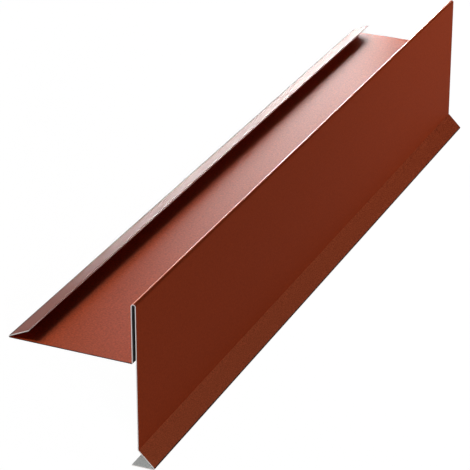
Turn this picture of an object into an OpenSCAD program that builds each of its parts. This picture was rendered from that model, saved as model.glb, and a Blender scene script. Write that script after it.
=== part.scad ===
// Verge trim: one strip of coated steel sheet, folded along its whole length.
// The sizes below are given as the trim is fixed to a roof: face upright, return level.
// The part itself lies as a loose trim does on a floor, on its lip and its return, like a tent.

/* [Sheet] */
// Thickness of the coated sheet
sheet_t = 0.6; // [0.4:0.05:1]
// Length of the trim
trim_len = 600; // [200:10:3000]
// Inside radius of every bend but the wide fold at the top
bend_r = 0.3; // [0.3:0.1:1.5]

/* [Face] */
// Height of the face, from the top of the fold down to the kick-out
face_h = 98.7; // [75:0.1:160]
// Clear gap between the face and the upstand behind it
fold_gap = 2.1; // [1.5:0.1:8]

/* [Drip edge] */
// Length of the kick-out, down its slope to its tip
kick_len = 15.4; // [8:0.2:25]
// Angle of the kick-out away from the face
kick_angle = 45; // [25:1:60]
// Width of the level return, from its tip back under the face
return_len = 15.3; // [8:0.1:25]

/* [Roof flange] */
// Height of the upstand, from under the flange to the top of the fold
upstand_h = 40.2; // [25:0.1:60]
// Width of the trim, from the outside of the face to the tip of the lip
trim_w = 86.5; // [60:0.5:150]
// Rise of the flange towards its lip, in degrees
flange_rise = 0.8; // [0:0.2:5]
// Width of the turned-back lip, from its tip
lip_len = 15.3; // [8:0.1:20]
// Angle between the lip and the flange
lip_angle = 24.8; // [15:0.2:60]

/* [Hidden] */
paint_colour = "#8c3c24";
$fn = 48;

// Outside radii of the small bends and of the wide fold at the top.
bend_out = bend_r + sheet_t;
fold_out = fold_gap / 2 + sheet_t;

// Flat widths between the bends, in the order in which the strip is folded.
return_flat = return_len - bend_out;
kick_flat = kick_len - bend_out - bend_r * tan(kick_angle / 2);
face_flat = face_h - fold_out - bend_r * tan(kick_angle / 2);
upstand_flat = upstand_h - fold_out - bend_out;
flange_flat = (trim_w - 2 * fold_out - bend_r - bend_out) / cos(flange_rise);
lip_flat = lip_len - bend_out;

// Each step: a flat width, the turn of the bend after it (left is plus), its inside radius.
STRIP = [
    [return_flat, -90 - kick_angle, bend_r],
    [kick_flat, kick_angle, bend_r],
    [face_flat, -180, fold_gap / 2],
    [upstand_flat, 90 + flange_rise, bend_r],
    [flange_flat, 180 - lip_angle, bend_r],
    [lip_flat, 0, 0],
];

// Centres of two bends as fixed, measured from the outside of the face at its top.
drip_centre = [0, -face_h] - (kick_len - bend_out) * [sin(kick_angle), cos(kick_angle)]
    + bend_out * [cos(kick_angle), -sin(kick_angle)];
lip_centre = [2 * fold_out + bend_r, bend_out - upstand_h]
    + flange_flat * [cos(flange_rise), sin(flange_rise)];

// The loose trim stands on the free edge of its return and on the bend of its lip.
return_edge = drip_centre + [return_flat, -bend_out];
span = lip_centre - return_edge;
foot_gap = sqrt(span * span - bend_out * bend_out);
rest_turn = atan2(span.y, span.x) - asin(bend_out / norm(span));

// How far the trim reaches to each side of the free edge of its return, as it lies.
reach_right = foot_gap + bend_out;
reach_left = bend_out - bend_out * sin(rest_turn) + return_flat * cos(rest_turn);

// Part of the plane between two directions, well past the given radius.
module wedge(radius, from, to) {
    rim = [for (i = [0 : 4]) from + (to - from) * i / 4];
    polygon(concat([[0, 0]], [for (a = rim) 2 * radius * [cos(a), sin(a)]]));
}

// Bend of the sheet about the origin, between two directions.
module bend(inside, from, to) {
    intersection() {
        difference() {
            circle(inside + sheet_t);
            circle(inside);
        }
        wedge(inside + sheet_t, from, to);
    }
}

// The folded strip from a step on: its painted side runs along X and faces +Y.
// Each bend is drawn from both of its flats, so that rounding leaves no seam in the sheet.
module strip(i = 0) {
    flat = STRIP[i][0];
    turn = STRIP[i][1];
    inside = STRIP[i][2];
    translate([0, -sheet_t]) square([flat, sheet_t]);
    if (turn > 0) {
        translate([flat, inside]) {
            bend(inside, -90, turn - 90);
            rotate(turn) {
                bend(inside, -90 - turn, -90);
                translate([0, -inside]) strip(i + 1);
            }
        }
    }
    if (turn < 0) {
        translate([flat, -sheet_t - inside]) {
            bend(inside, 90 + turn, 90);
            rotate(turn) {
                bend(inside, 90, 90 - turn);
                translate([0, sheet_t + inside]) strip(i + 1);
            }
        }
    }
}

// The whole trim, from the free edge of its return to the free edge of its lip.
module verge_trim() {
    color(paint_colour)
        translate([-trim_len / 2, (reach_left - reach_right) / 2, 0])
            rotate([90, 0, 90])
                linear_extrude(trim_len)
                    rotate(180 - rest_turn) strip();
}

verge_trim();
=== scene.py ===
from collections import namedtuple
from math import asin, atan2, cos, pi, radians, sin, tan

import bpy
from bpy.props import FloatProperty, FloatVectorProperty, PointerProperty
from mathutils import Matrix, Vector


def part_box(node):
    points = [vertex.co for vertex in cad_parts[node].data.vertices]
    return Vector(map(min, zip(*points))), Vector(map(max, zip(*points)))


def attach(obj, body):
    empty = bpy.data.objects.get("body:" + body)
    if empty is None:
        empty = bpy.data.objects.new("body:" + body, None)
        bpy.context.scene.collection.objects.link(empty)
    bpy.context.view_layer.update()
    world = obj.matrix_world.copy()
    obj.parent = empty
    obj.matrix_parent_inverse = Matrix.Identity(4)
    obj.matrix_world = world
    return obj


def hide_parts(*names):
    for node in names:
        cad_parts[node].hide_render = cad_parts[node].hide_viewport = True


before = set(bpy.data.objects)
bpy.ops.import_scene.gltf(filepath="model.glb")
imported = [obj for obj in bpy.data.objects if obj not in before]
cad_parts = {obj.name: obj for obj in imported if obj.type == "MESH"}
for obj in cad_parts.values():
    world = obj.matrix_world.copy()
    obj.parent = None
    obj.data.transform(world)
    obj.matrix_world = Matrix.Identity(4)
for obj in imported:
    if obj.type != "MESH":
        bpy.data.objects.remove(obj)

bl_info = {
    "name": "Verge trim",
    "version": (1, 0, 0),
    "blender": (4, 5, 0),
    "location": "View3D > Sidebar > Verge trim",
    "description": "A folded roof trim of coated steel sheet, with its finishes and a small studio",
    "category": "Object",
}

# The trim is described as it is fixed to a roof: X runs along it, Y from the face towards the
# lip and Z up, from the outside of the face at its top near end. A matrix lays it on the floor.
NODE = "verge_trim"
MM = 0.001

# A bend is rounded in steps of about this angle, and a flat has rows this close to its bends.
BEND_STEP = radians(7.5)
BEND_MARGIN = 1.1 * MM

# About how far apart the other rows of a flat are, and the rows along the trim.
FLAT_ROW = 12 * MM
LENGTH_ROW = 25 * MM

# The finishes of each flat and of each bend, on the outer and on the inner side of the sheet.
# The lip is folded back over the flange, so it is its inner side that is seen from above.
FINISHES = {
    "return": ("paint", "back_coat"),
    # The drip's bend is painted shade on its outer side.
    "drip": ("painted_shade", "back_coat"),
    # The kick-out's grainy paint carries painted light towards its near end.
    "kick": ("kick_grain_and_painted_light", "back_coat"),
    "face": ("paint", "back_coat"),
    # Painted highlight: the outer side of the wide fold's second half gets a much lighter copy of
    # the paint.
    "fold": ("fold_painted_highlight", "fold_painted_shade"),
    # Inside the fold, the inner sides of the fold and of the upstand are painted shade.
    "upstand": ("flange_paint_painted_light", "fold_painted_shade"),
    # The flange's paint, here and on the upstand and under the lip, is a lighter copy of the face's
    # paint, as painted light.
    "flange": ("flange_paint_painted_light", "back_coat"),
    # The lip's fold is painted shade on its seen side.
    "lip fold": ("flange_paint_painted_light", "painted_shade"),
    # The seen side of the lip has a darker copy of the paint, as painted shade.
    "lip": ("flange_paint_painted_light", "lip_paint_painted_shade"),
}

# The finish of the free edges and of the ends, and that of the ends of the flange, which is painted
# shade.
EDGE_FINISH = "cut_steel"
FLANGE_END_FINISH = "painted_shade"

# How far the folded sheet may differ from the CAD solid's box.
FIT = 0.1 * MM

# Creases sharper than this stay sharp in the shading.
SHARP = radians(40)


class VergeTrimSizes(bpy.types.PropertyGroup):
    """Sizes of the folded section, as the trim is fixed to a roof"""

    sheet_t: FloatProperty(
        name="Sheet thickness", description="Thickness of the coated sheet",
        default=0.6 * MM, unit="LENGTH", precision=5,
    )
    bend_r: FloatProperty(
        name="Bend radius", description="Inside radius of the small bends",
        default=0.3 * MM, unit="LENGTH", precision=5,
    )
    face_h: FloatProperty(
        name="Face height", description="From the top of the fold down to the kick-out",
        default=98.7 * MM, unit="LENGTH", precision=4,
    )
    fold_gap: FloatProperty(
        name="Fold gap", description="Clear gap between the face and the upstand",
        default=2.1 * MM, unit="LENGTH", precision=5,
    )
    kick_len: FloatProperty(
        name="Kick-out length", description="Down the slope of the kick-out to its tip",
        default=15.4 * MM, unit="LENGTH", precision=5,
    )
    kick_angle: FloatProperty(
        name="Kick-out angle", description="Angle of the kick-out away from the face",
        default=radians(45), subtype="ANGLE",
    )
    return_len: FloatProperty(
        name="Return width", description="From the tip of the kick-out back under the face",
        default=15.3 * MM, unit="LENGTH", precision=5,
    )
    upstand_h: FloatProperty(
        name="Upstand height", description="From under the flange to the top of the fold",
        default=40.2 * MM, unit="LENGTH", precision=4,
    )
    trim_w: FloatProperty(
        name="Trim width", description="From the outside of the face to the tip of the lip",
        default=86.5 * MM, unit="LENGTH", precision=4,
    )
    flange_rise: FloatProperty(
        name="Flange rise", description="Rise of the flange towards its lip",
        default=radians(0.8), subtype="ANGLE",
    )
    lip_len: FloatProperty(
        name="Lip width", description="Width of the turned-back lip, from its tip",
        default=15.3 * MM, unit="LENGTH", precision=5,
    )
    lip_angle: FloatProperty(
        name="Lip angle", description="Angle between the lip and the flange",
        default=radians(24.8), subtype="ANGLE",
    )


def colour(name, description, default):
    """A colour that a user can change."""
    return FloatVectorProperty(
        name=name, description=description, default=default, size=3,
        subtype="COLOR", min=0, max=1,
    )


class VergeTrimColours(bpy.types.PropertyGroup):
    """Colours of the coated sheet and of the studio, as linear light"""

    paint: colour("Paint", "Matt coat of the face and the return", (0.292, 0.041, 0.0125))
    # The kick-out's grains, lighter overall than the paint and lightest towards the near end, carry
    # painted light as well as real mottling.
    kick_dark: colour("Kick-out, dark", "Dark grains of the kick-out", (0.16, 0.02, 0.006))
    kick_light: colour("Kick-out, light", "Its light grains", (0.64, 0.13, 0.048))
    # Painted highlight: a much lighter paint stands in for the light that the rounded top of the
    # wide fold catches.
    fold_painted_highlight: colour("Fold paint", "Rubbed paint on the wide fold", (0.65, 0.16, 0.065))
    # Painted light: a lighter copy of the face's paint, for the upstand and flange, which stand in
    # more light.
    flange_paint_painted_light: colour("Flange paint", "Coat of the upstand and flange", (0.345, 0.052, 0.0145))
    # Painted shade: a darker copy of the paint, about half as bright, where the lip stands in less
    # light.
    lip_paint_painted_shade: colour("Lip paint", "Coat of the turned-back lip", (0.13, 0.021, 0.007))
    back_coat: colour("Back coat", "Grey coat of the other side", (0.29, 0.295, 0.285))
    back_streak: colour("Back coat, light", "Rolled streaks in the grey coat", (0.37, 0.375, 0.365))
    # Painted shade: the grey coat made near black inside the narrow fold and on the upstand's inner
    # side, which lie in shade.
    fold_painted_shade: colour("Fold coat", "The coat in the shade of the fold", (0.04, 0.04, 0.04))
    fold_painted_shade_streak: colour("Fold coat, light", "Rolled streaks in it", (0.055, 0.055, 0.055))
    cut_steel: colour("Cut edge", "Bare steel and zinc at the cut edges", (0.74, 0.69, 0.67))
    # Painted shade: near-black paint on the drip's bend, the lip's fold and the ends of the flange,
    # where they lie dark.
    painted_shade: colour("Dark paint", "Dirty paint at sharp folds and ends", (0.03, 0.012, 0.008))
    floor: colour("Floor", "Pale floor", (0.9, 0.9, 0.9))


class Value:
    """A socket of a node tree, for use in Python expressions."""

    def __init__(self, nodes, socket):
        self.nodes = nodes
        self.socket = socket

    def __add__(self, other):
        return self.nodes.maths("ADD", self, other)

    __radd__ = __add__

    def __mul__(self, other):
        return self.nodes.maths("MULTIPLY", self, other)

    __rmul__ = __mul__

    def __sub__(self, other):
        return self.nodes.maths("SUBTRACT", self, other)

    def __rsub__(self, other):
        return self.nodes.maths("SUBTRACT", other, self)


class Nodes:
    """The node tree of a material or of the world."""

    def __init__(self, owner):
        owner.use_nodes = True
        self.tree = owner.node_tree
        self.tree.nodes.clear()

    def node(self, kind, settings=None, sockets=None, output=0):
        """Adds a node, sets it up, fills or links its sockets and gives one of its outputs."""
        node = self.tree.nodes.new(kind)
        for name, value in (settings or {}).items():
            setattr(node, name, value)
        for name, value in (sockets or {}).items():
            if isinstance(value, Value):
                self.tree.links.new(value.socket, node.inputs[name])
            else:
                node.inputs[name].default_value = value
        return Value(self, node.outputs[output]) if node.outputs else None

    def maths(self, operation, first, second):
        return self.node("ShaderNodeMath", {"operation": operation}, {0: first, 1: second})

    def place(self, stretch=(1, 1, 1)):
        """The place on the object in metres, times a stretch along each axis."""
        here = self.node("ShaderNodeTexCoord", output="Object")
        return self.node(
            "ShaderNodeVectorMath", {"operation": "MULTIPLY"}, {0: here, 1: stretch}
        )

    def noise(self, grains_per_metre, detail=2.0, stretch=(1, 1, 1)):
        """Noise from 0 to 1, with about so many grains in a metre."""
        return self.node(
            "ShaderNodeTexNoise", None,
            {"Vector": self.place(stretch), "Scale": grains_per_metre, "Detail": detail},
        )

    def mix(self, share, first, second):
        """A colour between two others."""
        return self.node(
            "ShaderNodeMix", {"data_type": "RGBA"},
            {"Factor": share, "A": (*first, 1), "B": (*second, 1)}, output="Result",
        )

    def bump(self, height, depth):
        """A normal for a height from 0 to 1 and a depth in metres."""
        return self.node("ShaderNodeBump", None, {"Height": height, "Distance": depth})

    def seen_directly(self):
        """1 for what the camera sees, in mirror and glass too, and 0 for light that is cast."""
        rays = [
            self.node("ShaderNodeLightPath", output=f"Is {kind} Ray")
            for kind in ("Camera", "Glossy", "Transmission")
        ]
        return rays[0] + rays[1] + rays[2]

    def surface(self, **sockets):
        """The shader that the material ends in."""
        named = {name.replace("_", " "): value for name, value in sockets.items()}
        shader = self.node("ShaderNodeBsdfPrincipled", None, named)
        self.node("ShaderNodeOutputMaterial", None, {"Surface": shader})

    def background(self, base, strength):
        """The shader that the world ends in."""
        shader = self.node(
            "ShaderNodeBackground", None, {"Color": (*base, 1), "Strength": strength}
        )
        self.node("ShaderNodeOutputWorld", None, {"Surface": shader})


def paint_finish(nodes, base, spread, shine):
    """Coat with a fine grain: how far its grains differ in colour, and 0 to 1 for its shine."""
    grain = nodes.noise(900, detail=3)
    nodes.surface(
        Base_Color=nodes.mix(grain, base * (1 - spread), base * (1 + spread)),
        Roughness=0.35 + 0.1 * grain,
        Specular_IOR_Level=shine,
        Normal=nodes.bump(grain, 0.03 * MM),
    )


def kick_grain_and_painted_light_finish(nodes, dark, light):
    """Mottled coat of the kick-out, with painted light: its light grains win towards the near end,
    where they stand in for brighter light.
    """
    grain = nodes.noise(1300, detail=3)
    # The first of the three is X, which is the way along the trim in metres from its middle.
    along = nodes.node("ShaderNodeSeparateXYZ", None, {"Vector": nodes.place()})
    nodes.surface(
        # Painted light: the colour lightens towards the near end of the kick-out.
        Base_Color=nodes.mix(1.4 * grain - 0.2 - along, dark, light),
        Roughness=0.5 + 0.1 * grain,
        Specular_IOR_Level=0.01,
        Normal=nodes.bump(grain, 0.05 * MM),
    )


def back_coat_finish(nodes, base, light):
    """Thin grey coat with streaks along the sheet; in near-black colours it is the painted shade
    inside the fold.
    """
    streaks = nodes.noise(600, detail=4, stretch=(0.08, 1, 1))
    nodes.surface(
        Base_Color=nodes.mix(streaks, base, light),
        Roughness=0.55 + 0.15 * streaks,
        Normal=nodes.bump(streaks, 0.02 * MM),
    )


def cut_steel_finish(nodes, base):
    """Sheared steel and zinc at the ends and the free edges."""
    scratches = nodes.noise(2500, detail=3)
    nodes.surface(
        Base_Color=(*base, 1),
        Roughness=0.4 + 0.2 * scratches,
        Metallic=0.3,
        Normal=nodes.bump(scratches, 0.01 * MM),
    )


def painted_shade_finish(nodes, base):
    """Near-black paint as painted shade on the drip's edge, the lip's fold and the ends of the
    flange.
    """
    smears = nodes.noise(2500, detail=3)
    nodes.surface(
        Base_Color=(*base, 1),
        Roughness=0.6 + 0.2 * smears,
        Specular_IOR_Level=0.1,
        Normal=nodes.bump(smears, 0.01 * MM),
    )


def floor_finish(nodes, base):
    """Matt floor that looks white by light of its own, which it doesn't cast."""
    matt = nodes.node("ShaderNodeBsdfDiffuse", None, {"Color": (*base, 1)})
    glow = nodes.node("ShaderNodeEmission", None, {"Strength": FLOOR_GLOW})
    share = FLOOR_SHARE * nodes.seen_directly()
    both = nodes.node("ShaderNodeMixShader", None, {0: share, 1: matt, 2: glow})
    nodes.node("ShaderNodeOutputMaterial", None, {"Surface": both})


def all_finishes(colours):
    """The material of every finish of the sheet, by its name."""
    materials = {}

    def new(name):
        materials[name] = bpy.data.materials.new(name)
        return Nodes(materials[name])

    paint_finish(new("paint"), colours.paint, spread=0.35, shine=0.002)
    kick_grain_and_painted_light_finish(new("kick_grain_and_painted_light"), colours.kick_dark, colours.kick_light)
    # Painted highlight on the wide fold.
    paint_finish(new("fold_painted_highlight"), colours.fold_painted_highlight, spread=0.2, shine=0.32)
    # Painted light: the flange's paint is lighter than the face's.
    paint_finish(new("flange_paint_painted_light"), colours.flange_paint_painted_light, spread=0.8, shine=0.042)
    # Painted shade on the lip.
    paint_finish(new("lip_paint_painted_shade"), colours.lip_paint_painted_shade, spread=0.4, shine=0.057)
    back_coat_finish(new("back_coat"), colours.back_coat, colours.back_streak)
    # Painted shade inside the fold.
    back_coat_finish(new("fold_painted_shade"), colours.fold_painted_shade, colours.fold_painted_shade_streak)
    cut_steel_finish(new("cut_steel"), colours.cut_steel)
    # Painted shade on bends and ends.
    painted_shade_finish(new("painted_shade"), colours.painted_shade)
    return materials


# A point on the outer side of the sheet, the one behind it on the inner side, and the names of
# the flats or bends that give the two sides their finish from there to the next row.
Row = namedtuple("Row", "outer inner outer_name inner_name")


class Section:
    """The folded section as fixed to a roof: X across the trim, Y up."""

    def __init__(self, sizes):
        bend_r = sizes.bend_r
        self.sheet_t = sizes.sheet_t
        bend_out = bend_r + self.sheet_t
        fold_r = sizes.fold_gap / 2
        fold_out = fold_r + self.sheet_t
        kick_setback = bend_r * tan(sizes.kick_angle / 2)
        rise = sizes.flange_rise

        return_flat = sizes.return_len - bend_out
        kick_flat = sizes.kick_len - bend_out - kick_setback
        face_flat = sizes.face_h - fold_out - kick_setback
        upstand_flat = sizes.upstand_h - fold_out - bend_out
        flange_flat = (sizes.trim_w - 2 * fold_out - bend_r - bend_out) / cos(rise)
        lip_flat = sizes.lip_len - bend_out
        # Each flat, and the bend after it: its turn, plus to the left, and its inside radius.
        self.folds = (
            ("return", return_flat, "drip", -pi / 2 - sizes.kick_angle, bend_r),
            ("kick", kick_flat, "face", sizes.kick_angle, bend_r),
            ("face", face_flat, "fold", -pi, fold_r),
            ("upstand", upstand_flat, "flange", pi / 2 + rise, bend_r),
            ("flange", flange_flat, "lip fold", pi - sizes.lip_angle, bend_r),
            ("lip", lip_flat, "", 0, 0),
        )

        # The centres of the drip's bend and of the lip's, then the free edge of the return.
        slope = Vector((sin(sizes.kick_angle), cos(sizes.kick_angle)))
        drip = Vector((0, -sizes.face_h)) - (sizes.kick_len - bend_out) * slope
        drip += bend_out * Vector((slope.y, -slope.x))
        lip = Vector((2 * fold_out + bend_r, bend_out - sizes.upstand_h))
        lip += flange_flat * Vector((cos(rise), sin(rise)))
        self.start = drip + Vector((return_flat, -bend_out))

        # The loose trim stands on the free edge of its return and on the bend of its lip.
        span = lip - self.start
        self.rest_turn = atan2(span.y, span.x) - asin(bend_out / span.length)
        self.reach_left = bend_out - bend_out * sin(self.rest_turn)
        self.reach_left += return_flat * cos(self.rest_turn)

    def laid(self, low, high):
        """The matrix that lays the trim, as it is fixed, into a box on the floor."""
        place = Matrix.Translation((low.x, low.y + self.reach_left, low.z))
        turn = Matrix.Rotation(-self.rest_turn, 4, "X")
        return place @ turn @ Matrix.Translation((0, -self.start.x, -self.start.y))

    def rows(self):
        """The rows of the sheet, from the free edge of the return to that of the lip."""
        rows = []
        here, heading, before = self.start, pi, "return"
        for name, flat, bend, turn, inside in self.folds:
            ahead = Vector((cos(heading), sin(heading)))
            right = Vector((ahead.y, -ahead.x))
            for distance in flat_stops(flat):
                point = here + ahead * distance
                # On the inner side the rim of a flat is finished as the bend before it.
                inner_name = name if distance else before
                rows.append(Row(point, point + right * self.sheet_t, name, inner_name))
            here = here + ahead * flat
            if turn:
                outside = inside + self.sheet_t
                side = 1 if turn > 0 else -1
                outer, inner = (inside, outside) if turn > 0 else (outside, inside)
                centre = here - right * outer * side
                steps = max(2, round(abs(turn) / BEND_STEP))
                for step in range(1, steps):
                    ray = Matrix.Rotation(turn * step / steps, 2) @ (right * side)
                    # The second half of each bend takes the bend's own finish, so on the wide fold
                    # the painted highlight lies on the half towards the upstand.
                    half = bend if 2 * step >= steps else name
                    rows.append(Row(centre + ray * outer, centre + ray * inner, half, half))
                here = centre + Matrix.Rotation(turn, 2) @ (right * side) * outer
                heading += turn
                before = bend
        return rows


def even_stops(start, end, gap):
    """Evenly spaced stops from start to end, about a gap apart."""
    count = max(1, round((end - start) / gap))
    return [start + (end - start) * i / count for i in range(count + 1)]


def flat_stops(width):
    """Stops across a flat, with one close to each bend."""
    return [0] + even_stops(BEND_MARGIN, width - BEND_MARGIN, FLAT_ROW) + [width]


def sheet_mesh(section, length):
    """The folded sheet as one closed mesh: its points, its faces and the finish of each face."""
    rows = section.rows()
    stations = even_stops(0, length, LENGTH_ROW)
    outline = [row.outer for row in rows] + [row.inner for row in rows]
    points = [(x, point.x, point.y) for x in stations for point in outline]
    faces, finishes = [], []

    def add(finish, *corners):
        faces.append(corners)
        finishes.append(finish)

    count = len(rows)
    for k in range(len(stations) - 1):
        near, far = k * 2 * count, (k + 1) * 2 * count
        for i in range(count - 1):
            a, b = near + i, far + i
            outer_finish, _ = FINISHES[rows[i].outer_name]
            _, inner_finish = FINISHES[rows[i].inner_name]
            add(outer_finish, a, a + 1, b + 1, b)
            add(inner_finish, b + count, b + count + 1, a + count + 1, a + count)
        for i in (0, count - 1):
            a, b = near + i, far + i
            corners = (a, b, b + count, a + count)
            add(EDGE_FINISH, *(corners if i == 0 else reversed(corners)))
    last = (len(stations) - 1) * 2 * count
    for i in range(count - 1):
        # The ends of the flange get painted shade.
        finish = FLANGE_END_FINISH if rows[i].outer_name == "flange" else EDGE_FINISH
        add(finish, i, i + count, i + 1 + count, i + 1)
        add(finish, last + i + 1, last + i + 1 + count, last + i + count, last + i)
    return points, faces, finishes


class VERGETRIM_OT_fold_sheet(bpy.types.Operator):
    """Fold the coated sheet and give each side its finish"""

    bl_idname = "vergetrim.fold_sheet"
    bl_label = "Fold the sheet"

    def execute(self, context):
        scene = context.scene
        low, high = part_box(NODE)
        section = Section(scene.verge_trim_sizes)
        points, faces, finishes = sheet_mesh(section, high.x - low.x)

        mesh = bpy.data.meshes.new("folded_sheet")
        mesh.from_pydata(points, [], faces)
        mesh.transform(section.laid(low, high))
        materials = all_finishes(scene.verge_trim_colours)
        for material in materials.values():
            mesh.materials.append(material)
        order = list(materials)
        mesh.polygons.foreach_set("material_index", [order.index(name) for name in finishes])
        mesh.set_sharp_from_angle(angle=SHARP)
        mesh.validate()
        mesh.update()

        sheet = bpy.data.objects.new("folded_sheet", mesh)
        scene.collection.objects.link(sheet)
        normals = sheet.modifiers.new("flat_normals", "WEIGHTED_NORMAL")
        normals.keep_sharp = True
        self.check_fit(mesh, low, high)
        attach(sheet, "root")
        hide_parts(NODE)
        return {"FINISHED"}

    def check_fit(self, mesh, low, high):
        """Stops if the sheet doesn't fill the box of the CAD solid."""
        for axis in range(3):
            reach = [vertex.co[axis] for vertex in mesh.vertices]
            gaps = abs(min(reach) - low[axis]), abs(max(reach) - high[axis])
            if max(gaps) > FIT:
                raise RuntimeError(f"the sheet is {max(gaps):.5f} m off the CAD box on axis {axis}")


# A soft lamp: the place that it shines at, on the trim as fixed, where it stands from there
# (degrees from the far end towards the lip, degrees up, metres), its size in metres and its
# power in watts.
Lamp = namedtuple("Lamp", "name target around up distance width height power")

WHOLE = (0.35, 0.04, -0.04)
FAR_END = (0.62, 0.06, -0.03)
LAMPS = (
    Lamp("flange_light", WHOLE, 120, 40, 1.6, 0.6, 0.6, 22.5),
    Lamp("face_light", WHOLE, -140, -12, 1.6, 0.6, 0.3, 8.2),
    Lamp("face_end_light", (0.62, -0.01, -0.05), -80, 28, 0.5, 0.25, 0.12, 1.45),
    Lamp("low_light", (0.5, 0.05, -0.04), 35, 4, 0.75, 0.4, 0.2, 1.15),
    Lamp("lip_light", FAR_END, 80, 4, 0.35, 0.25, 0.12, 0.64),
    Lamp("end_light", FAR_END, 40, 20, 0.35, 0.25, 0.12, 2.7),
)

# The camera, on the trim as fixed: its place in metres, then its turns in degrees.
CAMERA_PLACE = (-1.0756, -0.5239, 0.5982)
CAMERA_DOWN = 24.82
CAMERA_LEFT = 23.16

# The width of the camera's sensor in millimetres and in pixels, and its focal length in pixels.
SENSOR = 36
SENSOR_PIXELS = 470
FOCAL_PIXELS = 2263.7

# The colour of the empty surroundings, and how much of it they cast as light.
SURROUNDINGS = (0.8, 0.8, 0.8)
AMBIENT = 0.02

# The floor's share of light of its own in what the camera sees, and how strong that light is.
FLOOR_SHARE = 0.95
FLOOR_GLOW = 1.04

# The size of the floor, and how far it lies below the edges that the trim stands on.
FLOOR_SIZE = 12
FLOOR_DROP = 0.05 * MM


class VERGETRIM_OT_studio(bpy.types.Operator):
    """Set up the floor, the pale surroundings, the lamps and the camera"""

    bl_idname = "vergetrim.studio"
    bl_label = "Set up the studio"

    def execute(self, context):
        scene = context.scene
        laid = Section(scene.verge_trim_sizes).laid(*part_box(NODE))
        self.add_floor(scene)
        self.add_surroundings(scene)
        for lamp in LAMPS:
            self.add_lamp(scene, lamp, laid)
        self.add_camera(scene, laid)
        scene.view_settings.view_transform = "Standard"
        return {"FINISHED"}

    def add_floor(self, scene):
        reach = FLOOR_SIZE / 2
        corners = ((-reach, -reach, 0), (reach, -reach, 0), (reach, reach, 0), (-reach, reach, 0))
        mesh = bpy.data.meshes.new("floor")
        mesh.from_pydata(corners, [], [(0, 1, 2, 3)])
        material = bpy.data.materials.new("floor")
        floor_finish(Nodes(material), scene.verge_trim_colours.floor)
        mesh.materials.append(material)
        floor = bpy.data.objects.new("floor", mesh)
        floor.location.z = -FLOOR_DROP
        # Three lamps stand lower than the floor and shine through it.
        floor.visible_shadow = False
        scene.collection.objects.link(floor)

    def add_surroundings(self, scene):
        world = bpy.data.worlds.new("surroundings")
        nodes = Nodes(world)
        strength = AMBIENT + (1 - AMBIENT) * nodes.seen_directly()
        nodes.background(SURROUNDINGS, strength)
        scene.world = world

    def add_lamp(self, scene, lamp, laid):
        data = bpy.data.lights.new(lamp.name, "AREA")
        data.shape = "RECTANGLE"
        data.size = lamp.width
        data.size_y = lamp.height
        data.energy = lamp.power
        # Rays that find a low lamp by chance stop at the floor, so none of them are counted.
        data.cycles.use_multiple_importance_sampling = False
        around, up = radians(lamp.around), radians(lamp.up)
        back = Vector((cos(around) * cos(up), sin(around) * cos(up), sin(up)))
        place = Vector(lamp.target) + lamp.distance * back
        turn = back.to_track_quat("Z", "Y").to_matrix().to_4x4()
        light = bpy.data.objects.new(lamp.name, data)
        light.matrix_world = laid @ Matrix.Translation(place) @ turn
        scene.collection.objects.link(light)

    def add_camera(self, scene, laid):
        data = bpy.data.cameras.new("camera")
        data.sensor_width = SENSOR
        data.lens = SENSOR * FOCAL_PIXELS / SENSOR_PIXELS
        camera = bpy.data.objects.new("camera", data)
        turn = Matrix.Rotation(radians(CAMERA_LEFT - 90), 4, "Z")
        tilt = Matrix.Rotation(radians(90 - CAMERA_DOWN), 4, "X")
        camera.matrix_world = laid @ Matrix.Translation(CAMERA_PLACE) @ turn @ tilt
        scene.collection.objects.link(camera)
        scene.camera = camera


class VERGETRIM_PT_panel(bpy.types.Panel):
    """Builds the verge trim step by step"""

    bl_label = "Verge trim"
    bl_idname = "VERGETRIM_PT_panel"
    bl_space_type = "VIEW_3D"
    bl_region_type = "UI"
    bl_category = "Verge trim"

    def draw(self, context):
        for group in (context.scene.verge_trim_sizes, context.scene.verge_trim_colours):
            column = self.layout.column()
            for name in group.__annotations__:
                column.prop(group, name)
        for step in STEPS:
            self.layout.operator(step.bl_idname)


STEPS = (VERGETRIM_OT_fold_sheet, VERGETRIM_OT_studio)
CLASSES = (VergeTrimSizes, VergeTrimColours, *STEPS, VERGETRIM_PT_panel)


def register():
    for cls in CLASSES:
        bpy.utils.register_class(cls)
    bpy.types.Scene.verge_trim_sizes = PointerProperty(type=VergeTrimSizes)
    bpy.types.Scene.verge_trim_colours = PointerProperty(type=VergeTrimColours)


def unregister():
    del bpy.types.Scene.verge_trim_colours
    del bpy.types.Scene.verge_trim_sizes
    for cls in reversed(CLASSES):
        bpy.utils.unregister_class(cls)


def main():
    """Registers the add-on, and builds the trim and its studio."""
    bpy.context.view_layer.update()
    register()
    bpy.ops.vergetrim.fold_sheet()
    bpy.ops.vergetrim.studio()


if __name__ == "__main__":
    main()
